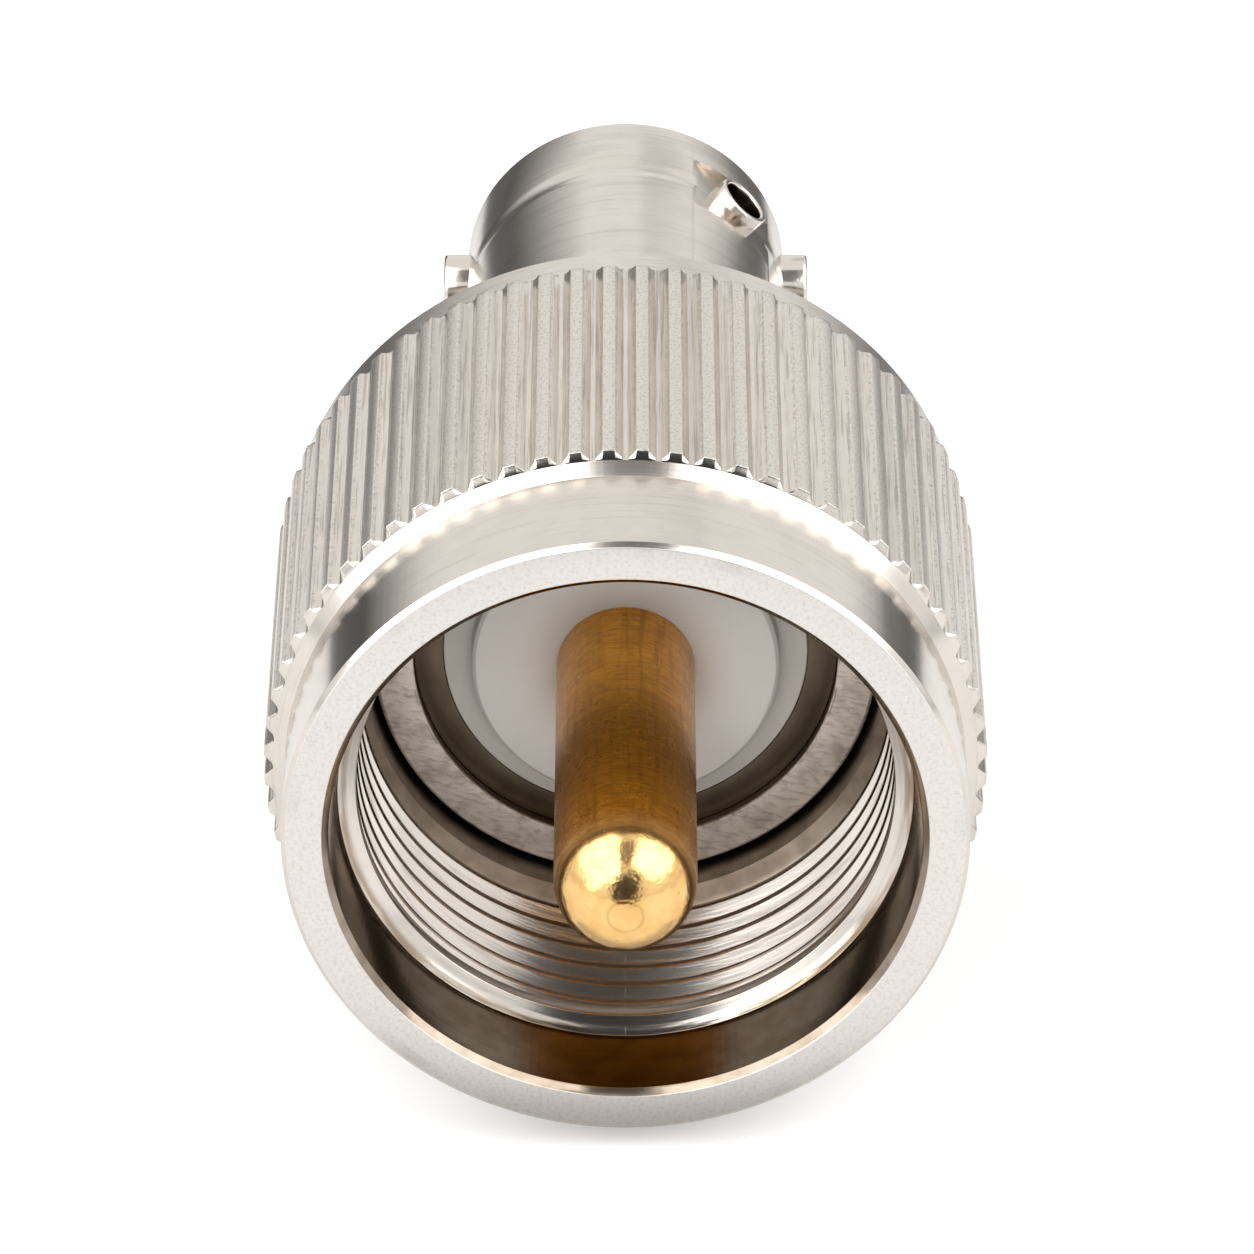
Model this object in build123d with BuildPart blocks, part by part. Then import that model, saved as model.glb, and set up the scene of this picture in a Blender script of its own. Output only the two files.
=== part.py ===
from build123d import *
import os
from math import cos, pi, radians, sin

# Coaxial adapter: a screw-on plug with a 4 mm class pin at one end, a bayonet jack at the other
# Millimetres. The axis lies along Y, with the plug's mouth towards -Y and +Z up.
# The origin is on the axis, in the front face of the shell's contact ring,
# where the plug meets the face of its mating socket.

os.makedirs("parts", exist_ok=True)

# Coupling nut, outside
nut_lead = 9.9            # from the nut's rim to the contact ring's face
rim_wall = 1.3            # between the clearance bore and the plain collar
collar_length = 3.85      # plain part in front of the knurl
rim_chamfer = 0.2
knurl_step = 0.34         # from the collar up to the knurl's floor
knurl_depth = 0.26
rib_count = 68
rib_top_width = 0.44
groove_floor_width = 0.10
rear_band_length = 1.15   # plain part behind the knurl
rear_band_drop = 0.04     # how far it lies below the knurl's floor
nut_rear_chamfer = 0.15

# Coupling nut, inside: 5/8-24 thread behind a clearance bore
thread_major_dia = 15.94
thread_height = 0.55
counterbore_play = 0.13   # radial, over the thread
counterbore_depth = 3.0
lead_in = 0.3
lead_land = 0.3           # plain crest before the first turn
thread_length = 5.1
thread_run_out = 0.4
hub_thickness = 1.8       # the nut's inward flange, which rides on the neck

# Split ring that keeps the nut on the shell
snap_width = 0.6
snap_reach_in = 0.5       # how far it stands into the neck's groove
snap_reach_out = 0.5      # how far it stands into the hub's groove
snap_gap = 2.4
snap_gap_angle = 18.0     # from +Z towards -X
snap_side_play = 0.05
snap_radial_play = 0.06

# Shell
contact_ring_play = 0.42  # radial, inside the nut's smooth bore
contact_ring_wall = 1.0
contact_ring_length = 2.3
contact_ring_chamfer = 0.12
neck_step = 1.35          # radial, from the contact ring down to the neck
hub_play = 0.08           # radial, between hub and neck
slide_forward = 2.0       # travel of the nut from where it is drawn
slide_back = 0.15
forward_gap = 0.1         # left between hub and contact ring with the nut forward
travel_margin = 0.05
rear_land = 1.8           # neck left behind the snap ring's groove
neck_chamfer = 0.3
barrel_wall = 0.76
barrel_end = 23.9         # mouth of the bayonet jack
barrel_chamfer = 0.2
mouth_dia = 8.13
mouth_depth = 8.5
mouth_chamfer = 0.2
barrel_ring_set_back = 3.15  # from the jack's mouth to a shallow turned groove
barrel_ring_width = 0.5
barrel_ring_depth = 0.07

# Plug's front: recess, insulator and its retaining ring
recess_depth = 0.4
retainer_width = 0.6
retainer_wall = 0.85
flange_width = 0.7        # insulator's flange behind the retaining ring
boss_step = 0.8           # radial, from the insulator's waist in to its boss
boss_height = 0.9
boss_edge = 0.12
dish_dia = 4.8            # shallow dish round the pin
dish_depth = 0.08
tube_bore_dia = 8.0       # shell's bore behind the shoulder
front_insulator_tail = 3.6

# Centre conductor
pin_dia = 3.9
pin_reach = 13.7          # from the contact ring's face to the pin's tip
shank_dia = 2.5
tail_dia = 1.4
tail_length = 2.6
tail_hole_spare = 0.3
contact_collar_dia = 4.8
contact_collar_width = 1.6
contact_dia = 2.1
contact_set_back = 0.2    # contact's end inside the insulator's nose
contact_play = 0.05
contact_bore_dia = 1.4
contact_bore_depth = 5.5
contact_slot_width = 0.2
contact_slot_depth = 4.5
contact_slot_count = 4

# Jack's insulator
rear_flange_width = 2.6
web_bore_dia = 6.6
nose_dia = 4.75
nose_set_back = 3.2       # from the jack's mouth to the insulator's nose
nose_edge = 0.15

# Bayonet lugs and the hollow stud
lug_dia = 2.0
lug_height = 0.7          # above the barrel
lug_set_back = 1.7        # from the jack's mouth to the middle of the lugs
lug_edge = 0.12
seat_wall = 0.24          # barrel wall left under a lug or the stud
stud_dia = 1.74
stud_wall = 0.19
stud_bore_depth = 0.6
stud_height = 0.62        # above its milled flat
stud_set_back = 3.1
stud_angle = 44.0         # from +Z towards +X
stud_edge = 0.08
flat_depth = 0.265        # milled flat round the stud, below the barrel's surface
flat_length = 2.9         # along the barrel
flat_width = 3.6          # wider than the strip of barrel that it cuts
flat_corner = 0.5

# Places along the axis
ring_back = contact_ring_length
rim = -nut_lead
knurl_front = rim + collar_length
hub_front = ring_back + slide_forward + forward_gap
nut_back = hub_front + hub_thickness
knurl_back = nut_back - rear_band_length
snap_middle = (hub_front + nut_back) / 2
snap_front = snap_middle - snap_width / 2
snap_back = snap_middle + snap_width / 2
neck_groove_front = snap_front - slide_forward - travel_margin
neck_groove_back = snap_back + slide_back + travel_margin
neck_end = neck_groove_back + rear_land
counterbore_back = rim + counterbore_depth
thread_front = counterbore_back + lead_in + lead_land
thread_back = thread_front + thread_length
boss_face = recess_depth - boss_height
dish_floor = boss_face + dish_depth
flange_front = recess_depth + retainer_width
shoulder = flange_front + flange_width
front_insulator_back = shoulder + front_insulator_tail
collar_back = front_insulator_back + contact_collar_width
web_front = collar_back + rear_flange_width
mouth_floor = barrel_end - mouth_depth
nose_end = barrel_end - nose_set_back
contact_end = nose_end - contact_set_back
tail_end = front_insulator_back + tail_length
lug_place = barrel_end - lug_set_back
stud_place = barrel_end - stud_set_back
barrel_ring_place = barrel_end - barrel_ring_set_back

# Radii
major_r = thread_major_dia / 2
minor_r = major_r - thread_height
counterbore_r = major_r + counterbore_play
collar_r = counterbore_r + rim_wall
root_r = collar_r + knurl_step
tip_r = root_r + knurl_depth
band_r = root_r - rear_band_drop
mouth_r = mouth_dia / 2
barrel_r = mouth_r + barrel_wall
lug_r = lug_dia / 2
lug_reach = barrel_r + lug_height
stud_r = stud_dia / 2
contact_ring_r = minor_r - contact_ring_play
neck_r = contact_ring_r - neck_step
hub_r = neck_r + hub_play
snap_inner_r = neck_r - snap_reach_in
snap_outer_r = hub_r + snap_reach_out
neck_groove_r = snap_inner_r - snap_radial_play
hub_groove_r = snap_outer_r + snap_radial_play
recess_r = contact_ring_r - contact_ring_wall
waist_r = recess_r - retainer_wall
boss_r = waist_r - boss_step
tube_r = tube_bore_dia / 2
web_r = web_bore_dia / 2
pin_r = pin_dia / 2
shank_r = shank_dia / 2
tail_r = tail_dia / 2
nose_r = nose_dia / 2
contact_r = contact_dia / 2
contact_hole_r = contact_r + contact_play
flat_level = barrel_r - flat_depth
seat_level = mouth_r + seat_wall
stud_top = flat_level + stud_height


def across(place):
    # Plane square to the axis, seen from the plug's mouth: X across, Z up
    return Plane.XZ.offset(-place)


# Knurled coupling nut
groove_top_width = 2 * pi * tip_r / rib_count - rib_top_width
groove_flare = (groove_top_width - groove_floor_width) / knurl_depth
groove_over = knurl_depth

with BuildPart() as coupling_nut:
    with BuildSketch(Plane.YZ):
        with BuildLine():
            Polyline(
                (rim, collar_r - rim_chamfer),
                (rim + rim_chamfer, collar_r),
                (knurl_front, collar_r),
                (knurl_front, root_r),
                (knurl_front + knurl_depth, tip_r),
                (knurl_back - knurl_depth, tip_r),
                (knurl_back, band_r),
                (nut_back - nut_rear_chamfer, band_r),
                (nut_back, band_r - nut_rear_chamfer),
                (nut_back, hub_r + nut_rear_chamfer),
                (nut_back - nut_rear_chamfer, hub_r),
                (snap_back + snap_side_play, hub_r),
                (snap_back + snap_side_play, hub_groove_r),
                (snap_front - snap_side_play, hub_groove_r),
                (snap_front - snap_side_play, hub_r),
                (hub_front, hub_r),
                (hub_front, minor_r),
                (thread_back + thread_run_out, minor_r),
                (thread_back, major_r),
                (thread_front, major_r),
                (thread_front, minor_r),
                (counterbore_back + lead_in, minor_r),
                (counterbore_back, counterbore_r),
                (rim + rim_chamfer, counterbore_r),
                (rim, counterbore_r + rim_chamfer),
                close=True,
            )
        make_face()
    revolve(axis=Axis.Y)
    # Grooves between the ribs: a groove, and so no rib, lies at the very bottom
    with BuildSketch(across(knurl_back)) as grooves:
        with PolarLocations(0, rib_count):
            Polygon(
                (-groove_floor_width / 2, root_r),
                (groove_floor_width / 2, root_r),
                (groove_top_width / 2 + groove_flare * groove_over / 2, tip_r + groove_over),
                (-groove_top_width / 2 - groove_flare * groove_over / 2, tip_r + groove_over),
                align=None,
            )
    extrude(amount=knurl_back - knurl_front, mode=Mode.SUBTRACT)

# Split snap ring, half in the neck's groove and half in the hub's
with BuildPart() as nut_snap_ring:
    with BuildSketch(across(snap_back)):
        Circle(snap_outer_r)
        Circle(snap_inner_r, mode=Mode.SUBTRACT)
        with PolarLocations((snap_inner_r + snap_outer_r) / 2, 1, start_angle=90 + snap_gap_angle):
            Rectangle(snap_outer_r - snap_inner_r + snap_gap, snap_gap, mode=Mode.SUBTRACT)
    extrude(amount=snap_width)

# Where the stud stands: planes square to it, at a distance from the barrel's axis
stud_direction = Vector(sin(radians(stud_angle)), 0, cos(radians(stud_angle)))


def stud_plane(level):
    foot = stud_direction * level + Vector(0, stud_place, 0)
    return Plane(origin=foot, x_dir=(0, 1, 0), z_dir=stud_direction)


def lug_plane(side):
    # Floor of a lug's blind seat: side is -1 on the left and 1 on the right
    return Plane(origin=(side * seat_level, lug_place, 0), z_dir=(side, 0, 0))


# Turned shell: contact ring, neck and bayonet barrel in one piece
with BuildPart() as main_shell:
    with BuildSketch(Plane.YZ):
        with BuildLine():
            Polyline(
                (0, recess_r),
                (0, contact_ring_r - contact_ring_chamfer),
                (contact_ring_chamfer, contact_ring_r),
                (ring_back, contact_ring_r),
                (ring_back, neck_r),
                (neck_groove_front, neck_r),
                (neck_groove_front, neck_groove_r),
                (neck_groove_back, neck_groove_r),
                (neck_groove_back, neck_r),
                (neck_end - neck_chamfer, neck_r),
                (neck_end, neck_r - neck_chamfer),
                (neck_end, barrel_r),
                (barrel_end - barrel_chamfer, barrel_r),
                (barrel_end, barrel_r - barrel_chamfer),
                (barrel_end, mouth_r + mouth_chamfer),
                (barrel_end - mouth_chamfer, mouth_r),
                (mouth_floor, mouth_r),
                (mouth_floor, web_r),
                (web_front, web_r),
                (web_front, tube_r),
                (shoulder, tube_r),
                (shoulder, recess_r),
                close=True,
            )
        make_face()
        # Shallow turned groove in front of the lugs
        with BuildLine():
            ThreePointArc(
                (barrel_ring_place - barrel_ring_width / 2, barrel_r),
                (barrel_ring_place, barrel_r - barrel_ring_depth),
                (barrel_ring_place + barrel_ring_width / 2, barrel_r),
            )
            Line(
                (barrel_ring_place + barrel_ring_width / 2, barrel_r),
                (barrel_ring_place - barrel_ring_width / 2, barrel_r),
            )
        make_face(mode=Mode.SUBTRACT)
    revolve(axis=Axis.Y)
    # Blind seats of the two lugs
    for side in (-1, 1):
        with BuildSketch(lug_plane(side)):
            Circle(lug_r)
        extrude(amount=barrel_r, mode=Mode.SUBTRACT)
    # Milled flat and blind seat of the stud
    with BuildSketch(stud_plane(flat_level)):
        RectangleRounded(flat_length, flat_width, flat_corner)
    extrude(amount=barrel_r, mode=Mode.SUBTRACT)
    with BuildSketch(stud_plane(seat_level)):
        Circle(stud_r)
    extrude(amount=barrel_r, mode=Mode.SUBTRACT)

# Ring pressed into the recess, in front of the insulator's flange
with BuildPart() as insulator_retainer:
    with BuildSketch(across(flange_front)):
        Circle(recess_r)
        Circle(waist_r, mode=Mode.SUBTRACT)
    extrude(amount=retainer_width)

# Plug's insulator: raised boss, waist, flange and tail round the pin's shank
with BuildPart() as front_insulator:
    with BuildSketch(Plane.YZ):
        with BuildLine():
            Polyline(
                (dish_floor, shank_r),
                (dish_floor, dish_dia / 2 - dish_depth),
                (boss_face, dish_dia / 2),
                (boss_face, boss_r - boss_edge),
                (boss_face + boss_edge, boss_r),
                (recess_depth, boss_r),
                (recess_depth, waist_r),
                (flange_front, waist_r),
                (flange_front, recess_r),
                (shoulder, recess_r),
                (shoulder, tube_r),
                (front_insulator_back, tube_r),
                (front_insulator_back, shank_r),
                close=True,
            )
        make_face()
    revolve(axis=Axis.Y)

# Centre pin: round end, shoulder on the insulator, shank through it, tail for the contact
with BuildPart() as centre_pin:
    with BuildSketch(Plane.YZ):
        with BuildLine():
            Polyline(
                (-pin_reach + pin_r, pin_r),
                (dish_floor, pin_r),
                (dish_floor, shank_r),
                (front_insulator_back, shank_r),
                (front_insulator_back, tail_r),
                (tail_end, tail_r),
                (tail_end, 0),
                (-pin_reach, 0),
            )
            RadiusArc((-pin_reach, 0), (-pin_reach + pin_r, pin_r), pin_r)
        make_face()
    revolve(axis=Axis.Y)

# Jack's contact: collar held between the insulators, four sprung fingers at the end
with BuildPart() as socket_contact:
    with BuildSketch(Plane.YZ):
        with BuildLine():
            Polyline(
                (front_insulator_back, tail_r),
                (front_insulator_back, contact_collar_dia / 2),
                (collar_back, contact_collar_dia / 2),
                (collar_back, contact_r),
                (contact_end, contact_r),
                (contact_end, contact_bore_dia / 2),
                (contact_end - contact_bore_depth, contact_bore_dia / 2),
                (contact_end - contact_bore_depth, 0),
                (tail_end + tail_hole_spare, 0),
                (tail_end + tail_hole_spare, tail_r),
                close=True,
            )
        make_face()
    revolve(axis=Axis.Y)
    with BuildSketch(across(contact_end)):
        with PolarLocations(0, contact_slot_count // 2, angular_range=180):
            Rectangle(contact_slot_width, contact_dia * 2)
    extrude(amount=contact_slot_depth, mode=Mode.SUBTRACT)

# Jack's insulator: flange, web part and nose
with BuildPart() as rear_insulator:
    with BuildSketch(Plane.YZ):
        with BuildLine():
            Polyline(
                (collar_back, contact_hole_r),
                (collar_back, tube_r),
                (web_front, tube_r),
                (web_front, web_r),
                (mouth_floor, web_r),
                (mouth_floor, nose_r),
                (nose_end - nose_edge, nose_r),
                (nose_end, nose_r - nose_edge),
                (nose_end, contact_hole_r),
                close=True,
            )
        make_face()
    revolve(axis=Axis.Y)

# Bayonet lugs, pressed into the barrel on either side
bayonet_lugs = {}
for lug_name, side in (("bayonet_lug_left", -1), ("bayonet_lug_right", 1)):
    with BuildPart() as lug:
        with BuildSketch(lug_plane(side)):
            Circle(lug_r)
        extrude(amount=lug_reach - seat_level)
        outer_face = lug.faces().sort_by(lambda face: abs(face.center().X))[-1]
        chamfer(outer_face.edges(), lug_edge)
    bayonet_lugs[lug_name] = lug

# Hollow stud on its milled flat
with BuildPart() as hollow_stud:
    with BuildSketch(stud_plane(seat_level)):
        Circle(stud_r)
    extrude(amount=stud_top - seat_level)
    with BuildSketch(stud_plane(stud_top)):
        Circle(stud_r - stud_wall)
    extrude(amount=-stud_bore_depth, mode=Mode.SUBTRACT)
    stud_axis = Axis(origin=(0, 0, 0), direction=stud_direction)
    fillet(hollow_stud.edges().group_by(stud_axis)[-1], stud_edge)

coupling_nut.part.label = "coupling_nut"
export_step(coupling_nut.part, "parts/coupling_nut.step")

nut_snap_ring.part.label = "nut_snap_ring"
export_step(nut_snap_ring.part, "parts/nut_snap_ring.step")

main_shell.part.label = "main_shell"
export_step(main_shell.part, "parts/main_shell.step")

insulator_retainer.part.label = "insulator_retainer"
export_step(insulator_retainer.part, "parts/insulator_retainer.step")

front_insulator.part.label = "front_insulator"
export_step(front_insulator.part, "parts/front_insulator.step")

centre_pin.part.label = "centre_pin"
export_step(centre_pin.part, "parts/centre_pin.step")

socket_contact.part.label = "socket_contact"
export_step(socket_contact.part, "parts/socket_contact.step")

rear_insulator.part.label = "rear_insulator"
export_step(rear_insulator.part, "parts/rear_insulator.step")

for lug_name, lug in bayonet_lugs.items():
    lug.part.label = lug_name
    export_step(lug.part, f"parts/{lug_name}.step")

hollow_stud.part.label = "hollow_stud"
export_step(hollow_stud.part, "parts/hollow_stud.step")
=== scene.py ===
import math
import bpy
from mathutils import Matrix, Vector


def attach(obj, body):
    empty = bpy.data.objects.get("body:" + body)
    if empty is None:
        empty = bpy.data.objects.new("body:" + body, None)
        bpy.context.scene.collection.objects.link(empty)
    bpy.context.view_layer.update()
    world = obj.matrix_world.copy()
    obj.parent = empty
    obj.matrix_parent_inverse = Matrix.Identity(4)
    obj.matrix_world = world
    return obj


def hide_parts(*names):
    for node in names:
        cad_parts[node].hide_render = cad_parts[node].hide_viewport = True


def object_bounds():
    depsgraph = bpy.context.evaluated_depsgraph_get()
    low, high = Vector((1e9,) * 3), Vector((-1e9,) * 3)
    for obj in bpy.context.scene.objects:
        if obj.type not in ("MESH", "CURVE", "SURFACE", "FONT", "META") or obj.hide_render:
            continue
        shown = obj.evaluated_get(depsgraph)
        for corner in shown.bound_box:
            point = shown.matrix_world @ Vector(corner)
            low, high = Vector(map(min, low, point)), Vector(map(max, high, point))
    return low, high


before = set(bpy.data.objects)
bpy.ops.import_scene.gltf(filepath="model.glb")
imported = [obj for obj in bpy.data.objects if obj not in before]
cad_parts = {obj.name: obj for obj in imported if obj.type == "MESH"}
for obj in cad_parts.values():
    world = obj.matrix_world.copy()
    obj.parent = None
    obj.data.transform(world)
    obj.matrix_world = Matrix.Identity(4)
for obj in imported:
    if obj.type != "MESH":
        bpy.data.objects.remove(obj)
cadLow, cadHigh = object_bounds()
print("frame loaded:", len(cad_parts), "solids")

mm = 0.001
fullTurn = 2 * math.pi


def clearSelection():
    # nothing is selected when a new piece begins
    if bpy.context.mode != "OBJECT":
        bpy.ops.object.mode_set(mode="OBJECT")
    bpy.ops.object.select_all(action="DESELECT")


def rounded(points, radius):
    # corners of a closed outline, in (along the axis, from the axis), turned into small arcs
    made = []
    count, parts = len(points), 3
    for i in range(count):
        before, corner, after = Vector(points[i - 1]), Vector(points[i]), Vector(points[(i + 1) % count])
        toBefore, toAfter = before - corner, after - corner
        turn = math.pi - toBefore.angle(toAfter)
        if corner.y < 1e-6 or turn < math.radians(12):  # on the axis, or nearly straight
            made.append(tuple(corner))
            continue
        reach = min(radius * math.tan(turn / 2), 0.4 * toBefore.length, 0.4 * toAfter.length)
        start = corner + toBefore.normalized() * reach
        end = corner + toAfter.normalized() * reach
        for k in range(parts + 1):
            t = k / parts
            made.append(tuple(start * (1 - t) ** 2 + corner * 2 * t * (1 - t) + end * t ** 2))
    return made


def nearestPoint(piece, place):
    y, r = place
    wanted = Vector((0, y * mm, r * mm))
    vertices = piece.data.vertices
    return min(range(len(vertices)), key=lambda i: (vertices[i].co - wanted).length)


def drawOutline(name, points, closed=True):
    # one corner of a plane, extruded from point to point along the outline
    clearSelection()
    firstY, firstR = points[0]
    bpy.ops.mesh.primitive_plane_add(size=1 * mm, location=(0, firstY * mm, firstR * mm))
    piece = bpy.context.object
    piece.name = piece.data.name = name
    bpy.ops.object.transform_apply(location=True, rotation=True, scale=True)
    bpy.ops.object.mode_set(mode="EDIT")
    bpy.ops.mesh.select_mode(type="VERT")
    bpy.ops.mesh.select_all(action="SELECT")
    bpy.ops.mesh.merge(type="CENTER")
    for (fromY, fromR), (toY, toR) in zip(points, points[1:]):
        step = (0, (toY - fromY) * mm, (toR - fromR) * mm)
        bpy.ops.mesh.extrude_region_move(TRANSFORM_OT_translate={"value": step})
    if closed:
        bpy.ops.mesh.select_all(action="SELECT")
        bpy.ops.object.mode_set(mode="OBJECT")
        ends = [nearestPoint(piece, place) for place in (points[0], points[-1])]
        for vertex in piece.data.vertices:
            vertex.select = vertex.index in ends
        for edge in piece.data.edges:
            edge.select = False
        bpy.ops.object.mode_set(mode="EDIT")
        bpy.ops.mesh.select_mode(type="VERT")
        bpy.ops.mesh.edge_face_add()
    bpy.ops.mesh.select_all(action="SELECT")
    return piece


def closeSkin(piece, smoothAngle=28):
    bpy.ops.mesh.select_all(action="SELECT")
    bpy.ops.mesh.remove_doubles(threshold=0.0004 * mm)
    bpy.ops.mesh.normals_make_consistent(inside=False)
    bpy.ops.object.mode_set(mode="OBJECT")
    bpy.ops.object.shade_smooth_by_angle(angle=math.radians(smoothAngle))
    return piece


def turned(name, points, radius, steps, closed=True):
    # a lathe-turned piece round the Y axis
    piece = drawOutline(name, rounded(points, radius), closed)
    bpy.ops.mesh.spin(steps=steps, angle=fullTurn, center=(0, 0, 0), axis=(0, 1, 0))
    return closeSkin(piece)


def pickPoints(piece, test):
    # selects the points whose place, in millimetres, passes the test
    bpy.ops.mesh.select_all(action="DESELECT")
    bpy.ops.object.mode_set(mode="OBJECT")
    for vertex in piece.data.vertices:
        vertex.select = bool(test(vertex.co / mm))
    bpy.ops.object.mode_set(mode="EDIT")


def pickFaces(piece, test):
    # enters edit mode with the faces that pass the test selected
    bpy.ops.object.mode_set(mode="EDIT")
    bpy.ops.mesh.select_mode(type="FACE")
    bpy.ops.mesh.select_all(action="DESELECT")
    bpy.ops.object.mode_set(mode="OBJECT")
    for face in piece.data.polygons:
        face.select = bool(test(face))
    bpy.ops.object.mode_set(mode="EDIT")


def applyModifier(piece, kind, **settings):
    modifier = piece.modifiers.new(kind.lower(), kind)
    for key, value in settings.items():
        setattr(modifier, key, value)
    bpy.context.view_layer.objects.active = piece
    bpy.ops.object.modifier_apply(modifier=modifier.name)


def breakEdges(piece, width, segments):
    # a small bevel on the sharp edges only
    limit = math.radians(40)
    applyModifier(
        piece, "BEVEL", width=width * mm, segments=segments, limit_method="ANGLE", angle_limit=limit)


def mergedCopy(node, name, bevel):
    # a copy of a CAD solid, joined up, with its edges slightly broken
    clearSelection()
    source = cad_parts[node]
    piece = source.copy()
    piece.data = source.data.copy()
    for key in list(piece.keys()):
        del piece[key]
    piece.parent = None
    piece.name = piece.data.name = name
    bpy.context.scene.collection.objects.link(piece)
    piece.data.materials.clear()
    piece.select_set(True)
    bpy.context.view_layer.objects.active = piece
    bpy.ops.object.mode_set(mode="EDIT")
    bpy.ops.mesh.select_all(action="SELECT")
    bpy.ops.mesh.remove_doubles(threshold=0.0005 * mm)
    bpy.ops.mesh.customdata_custom_splitnormals_clear()
    bpy.ops.mesh.select_all(action="SELECT")
    bpy.ops.mesh.dissolve_limited(angle_limit=math.radians(0.5))
    bpy.ops.object.mode_set(mode="OBJECT")
    breakEdges(piece, bevel, 2)
    bpy.ops.object.shade_smooth_by_angle(angle=math.radians(28))
    return piece


def dress(piece, body, material, slot, *stoodFor):
    piece.data.materials.clear()
    piece.data.materials.append(material)
    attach(piece, body)
    if stoodFor:
        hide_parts(*stoodFor)
    print("ready:", piece.name, len(piece.data.polygons), "faces")


# coupling nut: one pitch of the knurl is modelled, then copied round
nut = {
    "rim": -9.9, "collarR": 9.4, "rimChamfer": 0.14, "corner": 0.035,
    "knurlFront": -5.94, "knurlBack": 5.05, "grooveR": 9.74, "ribR": 10.0, "frontCone": 0.26,
    "ribs": 68, "ribTop": 0.33, "grooveFloor": 0.12, "ribEdge": 0.035,
    "frontRise": 0.12, "rearRise": 0.32,
    "bandR": 9.70, "bandRise": 0.06, "back": 6.2, "backChamfer": 0.15,
    "mouthR": 8.1, "mouthChamfer": 0.2, "mouthBack": -7.35, "mouthBackR": 7.93, "leadIn": 0.27,
    "crestR": 7.42, "threadFront": -6.68, "threadBack": -1.2, "threadR": 7.97,
    "runOut": 0.4, "boreR": 7.30,
    "hubFront": 4.4, "hubR": 5.73, "hubChamfer": 0.15, "hubGrooveR": 6.29, "hubGroove": (4.95, 5.65),
}


def nutOutline():
    n = nut
    front, back = n["knurlFront"], n["knurlBack"]
    knurlRows = [front + n["frontRise"] * share for share in (0.3, 0.8, 1.1, 1.5)]
    knurlRows += [back - n["rearRise"] * share for share in (1.6, 1.1, 0.7, 0.35)]
    outline = [
        (n["rim"], n["collarR"] - n["rimChamfer"]),
        (n["rim"] + n["rimChamfer"], n["collarR"]),
        (front - n["frontCone"], n["collarR"]),
        (front, n["grooveR"]),
    ]
    outline += [(row, n["grooveR"]) for row in knurlRows]
    outline += [
        (back, n["grooveR"]),
        (back + n["bandRise"], n["bandR"]),
        (n["back"] - n["backChamfer"], n["bandR"]),
        (n["back"], n["bandR"] - n["backChamfer"]),
        (n["back"], n["hubR"] + n["hubChamfer"]),
        (n["back"] - n["hubChamfer"], n["hubR"]),
        (n["hubGroove"][1], n["hubR"]),
        (n["hubGroove"][1], n["hubGrooveR"]),
        (n["hubGroove"][0], n["hubGrooveR"]),
        (n["hubGroove"][0], n["hubR"]),
        (n["hubFront"], n["hubR"]),
        (n["hubFront"], n["boreR"]),
        (n["threadBack"] + n["runOut"], n["boreR"]),
        (n["threadBack"], n["threadR"]),
        (n["threadFront"], n["threadR"]),
        (n["threadFront"], n["crestR"]),
        (n["mouthBack"] + n["leadIn"], n["crestR"]),
        (n["mouthBack"], n["mouthBackR"]),
        (n["rim"] + n["mouthChamfer"], n["mouthR"]),
        (n["rim"], n["mouthR"] + n["mouthChamfer"]),
    ]
    return rounded(outline, n["corner"])


def ribColumns():
    # (angle from the middle of a groove, share of the rib's height) over one pitch
    n = nut
    pitch = fullTurn / n["ribs"]
    floor = n["grooveFloor"] / 2 / n["grooveR"]
    top = pitch / 2 - n["ribTop"] / 2 / n["ribR"]
    edge = n["ribEdge"] / n["ribR"]
    half = [
        (0.0, 0.0), (floor, 0.0), (floor + edge, 0.1),
        (top - edge * 0.6, 0.88), (top, 0.97), (top + edge * 0.8, 1.0), (pitch / 2, 1.0),
    ]
    return half + [(pitch - angle, share) for angle, share in reversed(half[:-1])]


def rowShare(y):
    # how high a rib stands at a place along it: sloped front end, rounded back end
    n = nut
    fromFront = max(0.0, min(1.0, (y - n["knurlFront"]) / n["frontRise"]))
    fromBack = max(0.0, min(1.0, (n["knurlBack"] - y) / n["rearRise"]))
    return min(fromFront, math.sin(fromBack * math.pi / 2))


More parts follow.
